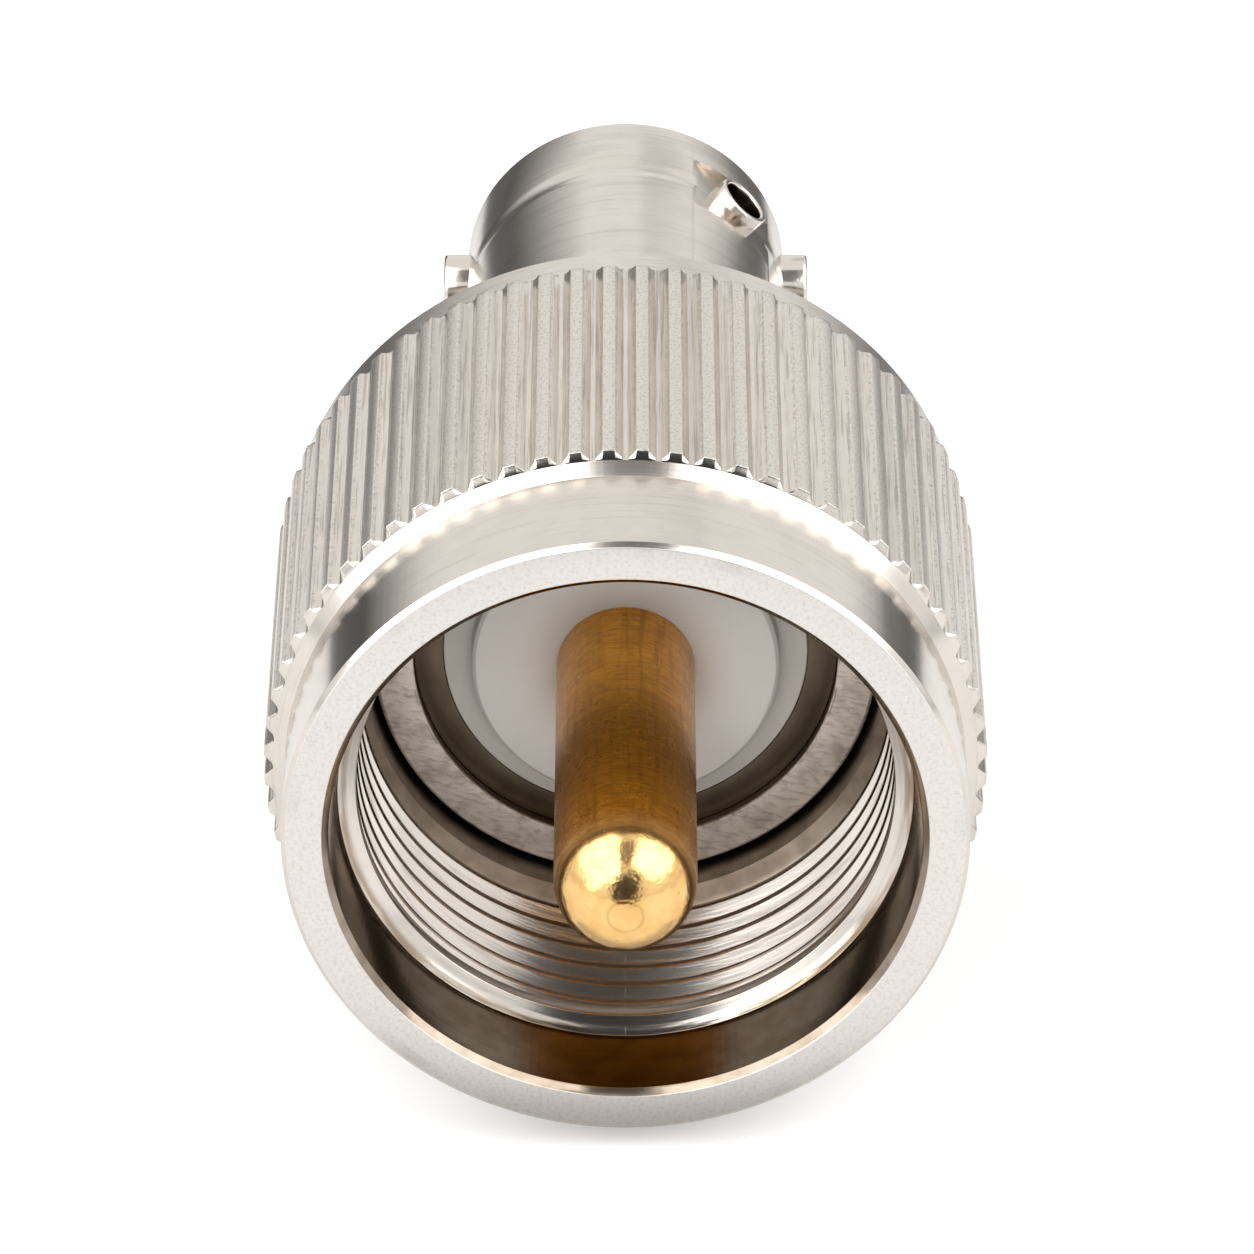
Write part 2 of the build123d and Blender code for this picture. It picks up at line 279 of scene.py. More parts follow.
def buildNut():
    n = nut
    piece = drawOutline("couplingNut", nutOutline())
    columns = ribColumns()
    for (angle, _), (nextAngle, _) in zip(columns, columns[1:]):
        bpy.ops.mesh.spin(steps=1, angle=nextAngle - angle, center=(0, 0, 0), axis=(0, 1, 0))
    rise = n["ribR"] - n["grooveR"]
    outer = (n["grooveR"] - 0.001) * mm
    rows = sorted({round(v.co.y / mm, 4) for v in piece.data.vertices if v.co.xz.length > outer})
    bpy.ops.mesh.select_mode(type="VERT")
    lifts = {}
    for angle, share in columns:
        for row in rows:
            lift = round(min(share, rowShare(row)), 3)
            if lift > 0:
                lifts.setdefault(lift, []).append((angle, row))
    for lift, places in lifts.items():
        scale = (n["grooveR"] + rise * lift) / n["grooveR"]

        def atPlace(p):
            if abs(math.hypot(p.x, p.z) - n["grooveR"]) > 0.002:
                return False
            angle = abs(math.atan2(p.x, p.z))
            return any(abs(angle - a) < 2e-4 and abs(p.y - y) < 2e-3 for a, y in places)

        pickPoints(piece, atPlace)
        bpy.ops.transform.resize(value=(scale, 1, scale), center_override=(0, 0, 0))
    bpy.ops.mesh.select_all(action="SELECT")
    copies = n["ribs"] - 1
    bpy.ops.mesh.spin(
        steps=copies, dupli=True, angle=fullTurn * copies / n["ribs"], center=(0, 0, 0), axis=(0, 1, 0))
    return closeSkin(piece, 32)


thread = {
    "pitch": 0.92, "start": -6.80, "turns": 6,
    "rootR": 7.985, "root": 0.80, "sunk": 0.06,
    "crestR": 7.432, "crest": 0.15, "crestEdge": 0.045, "crestOut": 0.025, "crestIn": 0.03,
}


def buildThread():
    # one section of the ridge, screwed along the nut's bore: a right-hand thread
    t = thread
    half = [
        (t["root"] / 2, t["rootR"] + t["sunk"]),
        (t["root"] / 2, t["rootR"]),
        (t["crest"] / 2 + t["crestOut"], t["crestR"] + t["crestEdge"]),
        (t["crest"] / 2 - t["crestIn"], t["crestR"]),
    ]
    section = [(-y, r) for y, r in half] + half[::-1]
    piece = drawOutline("nutThread", [(t["start"] + y, r) for y, r in section])
    bpy.ops.mesh.select_mode(type="EDGE")
    bpy.ops.mesh.delete(type="ONLY_FACE")
    bpy.ops.object.mode_set(mode="OBJECT")
    applyModifier(
        piece, "SCREW", axis="Y", angle=fullTurn, screw_offset=t["pitch"] * mm, iterations=t["turns"],
        steps=180, render_steps=180, use_merge_vertices=False,
    )
    bpy.ops.object.mode_set(mode="EDIT")
    bpy.ops.mesh.select_all(action="DESELECT")
    bpy.ops.mesh.select_mode(type="EDGE")
    bpy.ops.mesh.select_non_manifold()
    bpy.ops.mesh.edge_face_add()
    return closeSkin(piece, 15)


# turned shell: contact ring, neck and bayonet barrel
shell = {
    "ringR": 7.15, "recessR": 6.0, "ringBack": 2.3, "ringChamfer": 0.12,
    "neckR": 5.65, "neckGroove": (2.95, 5.8), "neckGrooveR": 5.09, "neckEnd": 7.6, "neckChamfer": 0.3,
    "barrelR": 4.825, "barrelEnd": 23.9, "barrelChamfer": 0.2,
    "mouthR": 4.065, "mouthFloor": 15.4, "mouthChamfer": 0.2,
    "turnedRing": 20.75, "turnedRingWidth": 1.0, "turnedRingDepth": 0.05,
    "webR": 3.3, "webFront": 9.5, "tubeR": 4.0, "shoulder": 1.7,
}
stud = {
    "place": 20.8, "angle": 44.0, "foot": 4.305, "width": 1.74, "height": 0.62,
    "bore": 1.36, "boreDepth": 0.6,
    "flatLevel": 4.56, "flatLength": 2.9, "flatWidth": 3.6, "flatCorner": 0.5, "flatCut": 2.0,
    "edge": 0.08,
}


def studAxis():
    angle = math.radians(stud["angle"])
    return Vector((math.sin(angle), 0, math.cos(angle)))


def turnedRing():
    # a shallow ring left by the lathe, as a smooth wave across the barrel
    s = shell
    half, dip, parts = s["turnedRingWidth"] / 2, s["turnedRingDepth"], 10
    wave = []
    for i in range(parts + 1):
        share = i / parts
        depth = dip * (1 - math.cos(fullTurn * share)) / 2
        wave.append((s["turnedRing"] - half + 2 * half * share, s["barrelR"] - depth))
    return wave


def buildShell():
    s = shell
    piece = turned("mainShell", [
        (0, s["recessR"]), (0, s["ringR"] - s["ringChamfer"]), (s["ringChamfer"], s["ringR"]),
        (s["ringBack"], s["ringR"]), (s["ringBack"], s["neckR"]), (s["neckGroove"][0], s["neckR"]),
        (s["neckGroove"][0], s["neckGrooveR"]), (s["neckGroove"][1], s["neckGrooveR"]),
        (s["neckGroove"][1], s["neckR"]), (s["neckEnd"] - s["neckChamfer"], s["neckR"]),
        (s["neckEnd"], s["neckR"] - s["neckChamfer"]), (s["neckEnd"], s["barrelR"]),
        *turnedRing(),
        (s["barrelEnd"] - s["barrelChamfer"], s["barrelR"]),
        (s["barrelEnd"], s["barrelR"] - s["barrelChamfer"]),
        (s["barrelEnd"], s["mouthR"] + s["mouthChamfer"]),
        (s["barrelEnd"] - s["mouthChamfer"], s["mouthR"]),
        (s["mouthFloor"], s["mouthR"]), (s["mouthFloor"], s["webR"]), (s["webFront"], s["webR"]),
        (s["webFront"], s["tubeR"]), (s["shoulder"], s["tubeR"]), (s["shoulder"], s["recessR"]),
    ], radius=0.04, steps=256)
    # the flat milled for the stud
    axis = studAxis()
    clearSelection()
    middle = axis * (stud["flatLevel"] + stud["flatCut"] / 2) + Vector((0, stud["place"], 0))
    turn = (0, math.radians(stud["angle"]), 0)
    bpy.ops.mesh.primitive_cube_add(size=1 * mm, location=middle * mm, rotation=turn)
    cutter = bpy.context.object
    cutter.name = "flatCutter"
    cutter.scale = (stud["flatWidth"], stud["flatLength"], stud["flatCut"])
    bpy.ops.object.transform_apply(location=True, rotation=True, scale=True)
    bpy.ops.object.mode_set(mode="EDIT")
    bpy.ops.mesh.select_mode(type="EDGE")
    bpy.ops.mesh.select_all(action="DESELECT")
    bpy.ops.object.mode_set(mode="OBJECT")
    for edge in cutter.data.edges:
        ends = [cutter.data.vertices[i].co for i in edge.vertices]
        edge.select = abs((ends[1] - ends[0]).normalized().dot(axis)) > 0.9
    bpy.ops.object.mode_set(mode="EDIT")
    bpy.ops.mesh.bevel(offset=stud["flatCorner"] * mm, segments=8)
    bpy.ops.object.mode_set(mode="OBJECT")
    clearSelection()
    piece.select_set(True)
    bpy.context.view_layer.objects.active = piece
    applyModifier(piece, "BOOLEAN", object=cutter, operation="DIFFERENCE", solver="EXACT")
    bpy.data.objects.remove(cutter)
    bpy.ops.object.shade_smooth_by_angle(angle=math.radians(28))
    return piece


def buildStud():
    axis = studAxis()
    foot, top = stud["foot"], stud["flatLevel"] + stud["height"]
    clearSelection()
    middle = axis * ((foot + top) / 2) + Vector((0, stud["place"], 0))
    bpy.ops.mesh.primitive_cylinder_add(
        vertices=72, radius=stud["width"] / 2 * mm, depth=(top - foot) * mm, location=middle * mm,
        rotation=axis.to_track_quat("Z", "Y").to_euler())
    piece = bpy.context.object
    piece.name = piece.data.name = "hollowStud"
    bpy.ops.object.transform_apply(location=True, rotation=True, scale=True)
    pickFaces(piece, lambda face: face.normal.dot(axis) > 0.9)
    bpy.ops.mesh.inset(thickness=(stud["width"] - stud["bore"]) / 2 * mm)
    bpy.ops.mesh.extrude_region_move(TRANSFORM_OT_translate={"value": axis * -stud["boreDepth"] * mm})
    bpy.ops.object.mode_set(mode="OBJECT")
    breakEdges(piece, stud["edge"], 3)
    bpy.ops.object.shade_smooth_by_angle(angle=math.radians(28))
    return piece


lug = {
    "place": 22.2, "width": 2.0, "reach": 5.525, "foot": 4.305, "edge": 0.12,
    "dish": 0.5, "dishDepth": 0.03,
}


def buildLug(name, side):
    clearSelection()
    middle = Vector((side * (lug["foot"] + lug["reach"]) / 2, lug["place"], 0))
    bpy.ops.mesh.primitive_cylinder_add(
        vertices=96, radius=lug["width"] / 2 * mm, depth=(lug["reach"] - lug["foot"]) * mm,
        location=middle * mm, rotation=(0, side * math.pi / 2, 0))
    piece = bpy.context.object
    piece.name = piece.data.name = name
    bpy.ops.object.transform_apply(location=True, rotation=True, scale=True)
    breakEdges(piece, lug["edge"], 4)
    pickFaces(piece, lambda face: face.normal.x * side > 0.99)
    bpy.ops.mesh.inset(thickness=((lug["width"] - lug["dish"]) / 2 - lug["edge"]) * mm)
    sink = (-side * lug["dishDepth"] * mm, 0, 0)
    bpy.ops.mesh.extrude_region_move(TRANSFORM_OT_translate={"value": sink})
    bpy.ops.object.mode_set(mode="OBJECT")
    bpy.ops.object.shade_smooth_by_angle(angle=math.radians(28))
    return piece


# plug: insulator, its retaining ring, and the round-ended pin
plug = {
    "bossFace": -0.5, "bossR": 4.35, "chamfer": 0.12, "dishFloor": -0.48, "dishR": 2.15,
    "recessFloor": 0.4, "recessR": 6.0, "waistR": 5.15, "retainerBack": 1.0,
    "shoulder": 1.7, "tubeR": 4.0, "tail": 5.3, "shankR": 1.25,
    "pinR": 1.95, "tip": -13.7, "tipFlatR": 0.14, "domeParts": 28, "tailR": 0.7, "tailEnd": 7.9,
}


def buildPin():
    p = plug
    centre = p["tip"] + p["pinR"]
    first = math.asin(p["tipFlatR"] / p["pinR"])
    outline = [(centre - p["pinR"] * math.cos(first), 0.0)]
    for i in range(p["domeParts"] + 1):
        angle = first + (math.pi / 2 - first) * i / p["domeParts"]
        outline.append((centre - p["pinR"] * math.cos(angle), p["pinR"] * math.sin(angle)))
    outline += [
        (p["dishFloor"], p["pinR"]), (p["dishFloor"], p["shankR"]), (p["tail"], p["shankR"]),
        (p["tail"], p["tailR"]), (p["tailEnd"], p["tailR"]), (p["tailEnd"], 0.0),
    ]
    return turned("centrePin", outline, radius=0.03, steps=192, closed=False)


def buildFrontInsulator():
    p = plug
    return turned("frontInsulator", [
        (p["dishFloor"], p["shankR"]), (p["dishFloor"], p["dishR"] - p["chamfer"]),
        (p["bossFace"], p["dishR"]),
        (p["bossFace"], p["bossR"] - p["chamfer"]), (p["bossFace"] + p["chamfer"], p["bossR"]),
        (p["recessFloor"], p["bossR"]), (p["recessFloor"], p["waistR"]),
        (p["retainerBack"], p["waistR"]), (p["retainerBack"], p["recessR"]),
        (p["shoulder"], p["recessR"]), (p["shoulder"], p["tubeR"]),
        (p["tail"], p["tubeR"]), (p["tail"], p["shankR"]),
    ], radius=0.06, steps=192)


def buildRetainer():
    p = plug
    return turned("insulatorRetainer", [
        (p["recessFloor"], p["waistR"]), (p["recessFloor"], p["recessR"]),
        (p["retainerBack"], p["recessR"]), (p["retainerBack"], p["waistR"]),
    ], radius=0.05, steps=160)


# jack: only its insulator is modelled here, the socket contact is a copy
jack = {
    "front": 6.9, "holeR": 1.1, "tubeR": 4.0, "web": 9.5, "webR": 3.3, "mouthFloor": 15.4,
    "noseR": 2.375, "noseEnd": 20.7, "noseChamfer": 0.15, "holeChamfer": 0.12,
}


def buildRearInsulator():
    j = jack
    return turned("rearInsulator", [
        (j["front"], j["holeR"]), (j["front"], j["tubeR"]),
        (j["web"], j["tubeR"]), (j["web"], j["webR"]),
        (j["mouthFloor"], j["webR"]), (j["mouthFloor"], j["noseR"]),
        (j["noseEnd"] - j["noseChamfer"], j["noseR"]), (j["noseEnd"], j["noseR"] - j["noseChamfer"]),
        (j["noseEnd"], j["holeR"] + j["holeChamfer"]), (j["noseEnd"] - j["holeChamfer"], j["holeR"]),
    ], radius=0.05, steps=160)


# shader nodes, wrapped so that their sums read as sums
class Signal:
    def __init__(self, paint, socket):
        self.paint = paint
        self.socket = socket

    def math(self, operation, *others):
        return self.paint.node("Math", {"operation": operation}, *[self, *others])

    def __add__(self, other):
        return self.math("ADD", other)

    def __radd__(self, other):
        return self.math("ADD", other)

    def __sub__(self, other):
        return self.math("SUBTRACT", other)

    def __rsub__(self, other):
        return self.paint.node("Math", {"operation": "SUBTRACT"}, other, self)

    def __mul__(self, other):
        return self.math("MULTIPLY", other)

    def __rmul__(self, other):
        return self.math("MULTIPLY", other)

    def __truediv__(self, other):
        return self.math("DIVIDE", other)

    def __rtruediv__(self, other):
        return self.paint.node("Math", {"operation": "DIVIDE"}, other, self)

    def __pow__(self, other):
        return self.math("POWER", other)

    def __rpow__(self, other):
        return self.paint.node("Math", {"operation": "POWER"}, other, self)

    def __neg__(self):
        return self.math("MULTIPLY", -1.0)

    def between(self, low, high, fromValue=0.0, toValue=1.0):
        # a smooth step from one value to another
        settings = {"interpolation_type": "SMOOTHSTEP"}
        return self.paint.node("MapRange", settings, self, low, high, fromValue, toValue)

    def band(self, low, high, blur):
        # one inside a band, nought outside it
        return self.between(low - blur, low + blur) * self.between(high - blur, high + blur, 1.0, 0.0)


class Paint:
    # the nodes of one material, or of the world
    def __init__(self, name, world=False):
        self.owner = (bpy.data.worlds if world else bpy.data.materials).new(name)
        self.owner.use_nodes = True
        self.tree = self.owner.node_tree
        self.tree.nodes.clear()

    def feed(self, socket, value):
        if isinstance(value, Signal):
            self.tree.links.new(value.socket, socket)
        elif socket.type == "RGBA" and len(value) == 3:
            socket.default_value = (*value, 1.0)
        else:
            socket.default_value = value

    def node(self, kind, settings=None, *values, output=0, **named):
        made = self.tree.nodes.new("ShaderNode" + kind)
        for key, value in (settings or {}).items():
            setattr(made, key, value)
        inputs = [socket for socket in made.inputs if socket.enabled]
        for socket, value in zip(inputs, values):
            self.feed(socket, value)
        for key, value in named.items():
            self.feed(made.inputs[key.replace("_", " ")], value)
        outputs = [socket for socket in made.outputs if socket.enabled]
        if outputs:
            return Signal(self, outputs[output] if isinstance(output, int) else made.outputs[output])

    def parts(self, kind, *names, **named):
        # several outputs of one node
        outputs = self.node(kind, **named).socket.node.outputs
        return [Signal(self, outputs[name]) for name in names]

    def place(self):
        # along the axis, from the axis and round it, in millimetres and radians
        coords = self.node("TexCoord", output="Object")
        x, y, z = (part / mm for part in self.parts("SeparateXYZ", "X", "Y", "Z", Vector=coords))
        away = (x * x + z * z).math("SQRT")
        angle = x.math("ARCTAN2", z)
        return x, y, z, away, angle

    def vector(self, x, y, z):
        return self.node("CombineXYZ", None, x, y, z)

    def noise(self, where, scale, detail, roughness):
        return self.node("TexNoise", Vector=where, Scale=scale, Detail=detail, Roughness=roughness)

    def mix(self, share, first, second):
        return self.node("Mix", {"data_type": "RGBA"}, share, first, second)

    def finish(self, bump=None, bumpHeight=0.0, **values):
        if bump is not None:
            values["Normal"] = self.node("Bump", Strength=1.0, Distance=bumpHeight * mm, Height=bump)
        self.node("OutputMaterial", Surface=self.node("BsdfPrincipled", **values))
        return self.owner


nickel = {
    "light": (0.71, 0.655, 0.595), "dull": (0.56, 0.51, 0.455), "worn": (0.36, 0.325, 0.285),
    # shade and brown paint shade into the nut's mouth, and shade also gives the contact ring its dark
    # patches; dark paints shade along the thread and in the stud's bore
    "shade": (0.26, 0.205, 0.15), "brown": (0.17, 0.115, 0.065), "dark": (0.085, 0.062, 0.042),
    "rimFace": (0.77, 0.74, 0.71), "rib": (0.72, 0.67, 0.61), "crumb": (0.40, 0.36, 0.315),
    # leadIn, bore, boreShade and deepBore are painted shade inside the nut
    "leadIn": (0.30, 0.21, 0.12), "bore": (0.27, 0.225, 0.18), "boreShade": (0.17, 0.138, 0.105),
    # the tone for the contact ring's face is painted light, brighter because the face sits in shade
    "deepBore": (0.03, 0.022, 0.015), "thread": (0.76, 0.70, 0.635), "litContactRing": (1.0, 0.92, 0.82),
    # recess and recessShade are painted shade for the shell's recess; retainer and retainerShade are
    # painted shade for the retaining ring down in it
    "recess": (0.155, 0.12, 0.085), "recessShade": (0.10, 0.078, 0.055),
    "retainer": (0.175, 0.14, 0.10), "retainerShade": (0.12, 0.093, 0.066),
}


def turnedLines(paint, along, angle, fine=7.0, drift=1.6):
    # fine lines left by the lathe: quick along the axis, slow round it
    where = paint.vector(along * fine, angle.math("COSINE") * drift, angle.math("SINE") * drift)
    coarse = paint.noise(where, 1.0, 3.0, 0.65)
    hair = paint.noise(where, 2.6, 2.0, 0.6)
    return coarse * 0.6 + hair * 0.4


def grain(paint, x, y, z, size, detail=3.0):
    return paint.noise(paint.vector(x, y, z), 1.0 / size, detail, 0.6)


def nickelNut():
    paint = Paint("nickelNut")
    n = nut
    x, y, z, away, angle = paint.place()
    outside = away.between(8.9, 9.0)
    face = y.between(n["rim"] + 0.01, n["rim"] + 0.03, 1.0, 0.0)
    knurl = y.band(n["knurlFront"] + 0.10, n["knurlBack"], 0.03) * outside
    band = y.between(n["knurlBack"], n["knurlBack"] + 0.05) * outside
    ribTop = away.between(n["ribR"] - 0.05, n["ribR"] - 0.025) * knurl
    ribEdge = away.band(n["ribR"] - 0.10, n["ribR"] - 0.04, 0.015) * knurl
    flank = knurl * (1 - ribTop)
    backFace = y.between(n["hubFront"] + 0.1, n["hubFront"] + 0.5)
    bore = (1 - outside) * (1 - face) * (1 - backFace)
    counterbore = bore * y.between(n["mouthBack"] - 0.03, n["mouthBack"] + 0.03, 1.0, 0.0)
    leadIn = bore * y.band(n["mouthBack"] - 0.12, n["mouthBack"] + 0.10, 0.05)
    smooth = bore * y.between(n["threadBack"] - 0.1, n["threadBack"] + 0.2)
    deep = bore * y.between(0.9, 2.0)
    lines = turnedLines(paint, y, angle)
    cloud = grain(paint, x, y, z, 0.9, 2.0)
    pits = grain(paint, x, y, z, 0.11, 4.0)
    across = angle * n["ribR"]
    streaks = paint.noise(paint.vector(across * 14.0, y * 0.30, away * 9.0), 1.0, 3.0, 0.6)
    crumbs = paint.noise(paint.vector(across * 13.0, y * 9.0, away * 3.0), 1.0, 3.0, 0.7)
    dots = paint.noise(paint.vector(across * 9.0, y * 5.5, 0.0), 1.0, 4.0, 0.75)
    rings = paint.noise(paint.vector(y * 11.0 + away * 4.0, angle * 1.5, 0.0), 1.0, 3.0, 0.7)
    scratches = paint.noise(paint.vector(across * 0.6, y * 16.0, away * 16.0), 1.0, 3.0, 0.7)
    tone = paint.mix(cloud.between(0.35, 0.7) * 0.22, nickel["light"], nickel["dull"])
    tone = paint.mix(face * 0.8, tone, nickel["rimFace"])
    tone = paint.mix(face * pits.between(0.42, 0.85) * 0.45, tone, nickel["worn"])
    tone = paint.mix((outside - knurl) * lines.between(0.53, 0.68) * 0.28, tone, nickel["worn"])
    tone = paint.mix(band * scratches.between(0.56, 0.70) * 0.35, tone, nickel["worn"])
    topTone = paint.mix(crumbs.between(0.48, 0.64) * 0.6, nickel["rib"], nickel["crumb"])
    tone = paint.mix(ribTop, tone, topTone)
    tone = paint.mix(flank * streaks.between(0.50, 0.66) * 0.6, tone, nickel["worn"])
    tone = paint.mix(ribEdge * dots.between(0.46, 0.64) * 0.6, tone, nickel["worn"])
    tone = paint.mix(bore * lines.between(0.45, 0.65) * 0.35, tone, nickel["worn"])
    facing = turnedLines(paint, away, angle, 6.0, 1.2)
    tone = paint.mix(backFace * (1 - outside) * facing.between(0.48, 0.66) * 0.4, tone, nickel["worn"])
    # painted shade: the counterbore in the nut's mouth is darkened to brown
    mouthShade = paint.mix(cloud.between(0.3, 0.7), nickel["shade"], nickel["brown"])
    tone = paint.mix(counterbore * 0.8, tone, mouthShade)
    # painted shade: dark brown rings on the lead-in, then the plain bore behind the thread darkened, to
    # near black deeper in
    tone = paint.mix(leadIn * rings.between(0.38, 0.58) * 0.8, tone, nickel["leadIn"])
    boreShadeTone = paint.mix(cloud.between(0.3, 0.7), nickel["bore"], nickel["boreShade"])
    tone = paint.mix(smooth * 0.92, tone, boreShadeTone)
    tone = paint.mix(deep * 0.95, tone, nickel["deepBore"])
    byCone = outside * y.band(n["knurlFront"] - 1.1, n["knurlFront"] - n["frontCone"] - 0.05, 0.15)
    rough = 0.16 + face * 0.21 + ribTop * 0.12 + flank * 0.08 + band * 0.10
    rough = rough + smooth * 0.22 - counterbore * 0.03 + byCone * 0.12
    height = lines * (1 - knurl) * (1 - face) * (0.30 + counterbore * 0.3) + face * pits * 0.9
    height = height + ribTop * crumbs * 3.0 + flank * streaks * 1.5
    height = height + band * scratches * 0.5 + leadIn * rings * 4.0
    return paint.finish(bump=height, bumpHeight=0.006, Base_Color=tone, Metallic=1.0, Roughness=rough)


def nickelThread():
    paint = Paint("nickelThread")
    _, y, _, away, angle = paint.place()
    lines = paint.noise(paint.vector(y * 9.0 + away * 9.0, angle * 2.0, 0.0), 1.0, 3.0, 0.65)
    # painted shade: dark bands along the thread's roots and on its crests
    root = away.between(thread["rootR"] - 0.20, thread["rootR"] - 0.10)
    tone = paint.mix(lines.between(0.48, 0.66) * 0.40, nickel["thread"], nickel["worn"])
    crest = away.between(thread["crestR"] + 0.02, thread["crestR"] + 0.06, 1.0, 0.0)
    tone = paint.mix(root * 0.92 + crest * 0.8, tone, nickel["dark"])
    rough = 0.15 + lines * 0.08
    return paint.finish(bump=lines, bumpHeight=0.008, Base_Color=tone, Metallic=1.0, Roughness=rough)


def nickelShell():
    paint = Paint("nickelShell")
    s = shell
    x, y, z, away, angle = paint.place()
    ringFace = y.between(0.06, 0.1, 1.0, 0.0)
    inside = away.between(s["recessR"] + 0.01, s["recessR"] + 0.03, 1.0, 0.0)
    inside = inside * y.between(2.4, 2.6, 1.0, 0.0)
    recess = inside * y.between(0.10, 0.16)
    cloudy = grain(paint, x, y, z, 0.7, 2.0)
    edge = away.band(s["recessR"], s["recessR"] + 0.06, 0.02) * ringFace
    edge = edge * cloudy.between(0.45, 0.65)
    barrel = y.between(s["neckEnd"] - 0.1, s["neckEnd"])
    cloud = grain(paint, x, y, z, 1.1, 2.0)
    lines = turnedLines(paint, y, angle, 4.5, 0.9)
    wide = turnedLines(paint, y, angle, 1.6, 0.7)
    bend = cloud * 1.5
    brushWay = paint.vector(x * 2.0 + bend, y * 3.0, z * 8.0 + x * 2.0 + bend * 2.0)
    brushed = paint.noise(brushWay, 1.0, 3.0, 0.65)
    nicks = grain(paint, x, y, z, 0.22, 3.0)
    tone = paint.mix(cloud.between(0.35, 0.7) * 0.25, nickel["light"], nickel["dull"])
    tone = paint.mix(barrel * lines.between(0.52, 0.68) * 0.30, tone, nickel["worn"])
    tone = paint.mix(barrel * wide.between(0.50, 0.66) * 0.22, tone, nickel["worn"])
    # painted light: the ring face gets a brighter tone than the other nickel, and less metal, to lift it
    # out of its shade; cloudy patches of painted shade lie over it
    tone = paint.mix(ringFace, tone, nickel["litContactRing"])
    tone = paint.mix(ringFace * brushed.between(0.46, 0.66) * 0.45, tone, nickel["worn"])
    tone = paint.mix(ringFace * cloudy.between(0.45, 0.75) * 0.45, tone, nickel["shade"])
    # painted shade: the recess behind the contact ring is darkened to dark brown
    recessShadeTone = paint.mix(cloud.between(0.2, 0.9), nickel["recess"], nickel["recessShade"])
    tone = paint.mix(recess * 0.9, tone, recessShadeTone)
    rough = 0.19 + ringFace * 0.20 + cloud * 0.06 - edge * 0.14
    height = lines * (1 - ringFace) * 0.6 + brushed * ringFace * 2.2 + edge * nicks * 6.0
    metal = 1 - ringFace * 0.55
    return paint.finish(bump=height, bumpHeight=0.006, Base_Color=tone, Metallic=metal, Roughness=rough)


def nickelLug():
    paint = Paint("nickelLug")
    x, y, z, _, _ = paint.place()
    axis = studAxis()
    along = x * axis.x + z * axis.z
    across = x * axis.z - z * axis.x
    fromStud = (across * across + (y - stud["place"]) ** 2.0).math("SQRT")
    studTop = stud["flatLevel"] + stud["height"]
    holeR = stud["bore"] / 2
    # painted shade: the stud's bore is darkened
    hole = fromStud.between(holeR + 0.01, holeR + 0.03, 1.0, 0.0) * along.between(4.2, 4.4)
    hole = hole * along.between(studTop - 0.14, studTop - 0.06, 1.0, 0.0)
    speck = grain(paint, x, y, z, 0.12)
    tone = paint.mix(speck.between(0.5, 0.75) * 0.3, nickel["light"], nickel["dull"])
    tone = paint.mix(hole * 0.95, tone, nickel["dark"])
    rough = 0.12 + speck * 0.06
    return paint.finish(bump=speck, bumpHeight=0.002, Base_Color=tone, Metallic=1.0, Roughness=rough)


def shadedNickel():
    paint = Paint("shadedNickel")
    x, y, z, away, angle = paint.place()
    stain = grain(paint, x, y, z, 1.6, 2.0)
    lines = turnedLines(paint, away, angle, 5.0, 0.8)
    # painted shade: the retaining ring, down in the recess, is darkened to dark brown
    tone = paint.mix(stain.between(0.2, 0.8), nickel["retainer"], nickel["retainerShade"])
    rough = 0.30 + stain * 0.12
    return paint.finish(bump=lines, bumpHeight=0.004, Base_Color=tone, Metallic=1.0, Roughness=rough)


brass = {
    "body": (0.86, 0.39, 0.022), "bodyShade": (0.70, 0.29, 0.012), "line": (0.36, 0.135, 0.007),
    "streak": (0.32, 0.12, 0.007), "dome": (0.92, 0.60, 0.25), "domeShade": (0.76, 0.41, 0.12),
    "pit": (0.33, 0.17, 0.04),
}


def turnedBrass():
    paint = Paint("turnedBrass")
    p = plug
    x, y, z, away, angle = paint.place()
    shoulder = p["tip"] + p["pinR"]
    wobble = grain(paint, x, y, z, 0.35, 3.0)
    polished = (y + wobble * 1.2).between(shoulder - 0.50, shoulder + 1.4, 1.0, 0.0)
    nearTip = y.between(shoulder, shoulder + 6.5, 1.0, 0.25)
    rings = turnedLines(paint, y, angle, 6.0, 1.3)
    arcs = turnedLines(paint, y, angle, 15.0, 2.4)
    wear = grain(paint, x, y, z, 0.7, 3.0)
    streak = paint.noise(paint.vector(angle * 6.0, y * 0.22, 0.0), 1.0, 3.0, 0.6)
    pits = grain(paint, x, y, z, 0.15, 2.0).between(0.68, 0.76)
    mark = away.band(0.44, 0.52, 0.03) * polished
    body = paint.mix(wear.between(0.3, 0.7) * 0.6, brass["body"], brass["bodyShade"])
    body = paint.mix(arcs.between(0.46, 0.62) * 0.55, body, brass["line"])
    body = paint.mix(streak.between(0.48, 0.72) * 0.5, body, brass["streak"])
    dome = paint.mix(wear.between(0.35, 0.7) * 0.5, brass["dome"], brass["domeShade"])
    tone = paint.mix(polished, body, dome)
    tone = paint.mix((pits * 0.55 + mark * 0.3) * polished, tone, brass["pit"])
    rough = 0.23 - polished * 0.08 + wear * 0.10
    height = (rings * 0.35 + arcs * 1.3) * (1 - polished * 0.97) * nearTip
    height = height + pits * polished * -0.5 + mark * -0.4 + wear * polished * 6.0
    return paint.finish(bump=height, bumpHeight=0.006, Base_Color=tone, Metallic=1.0, Roughness=rough)


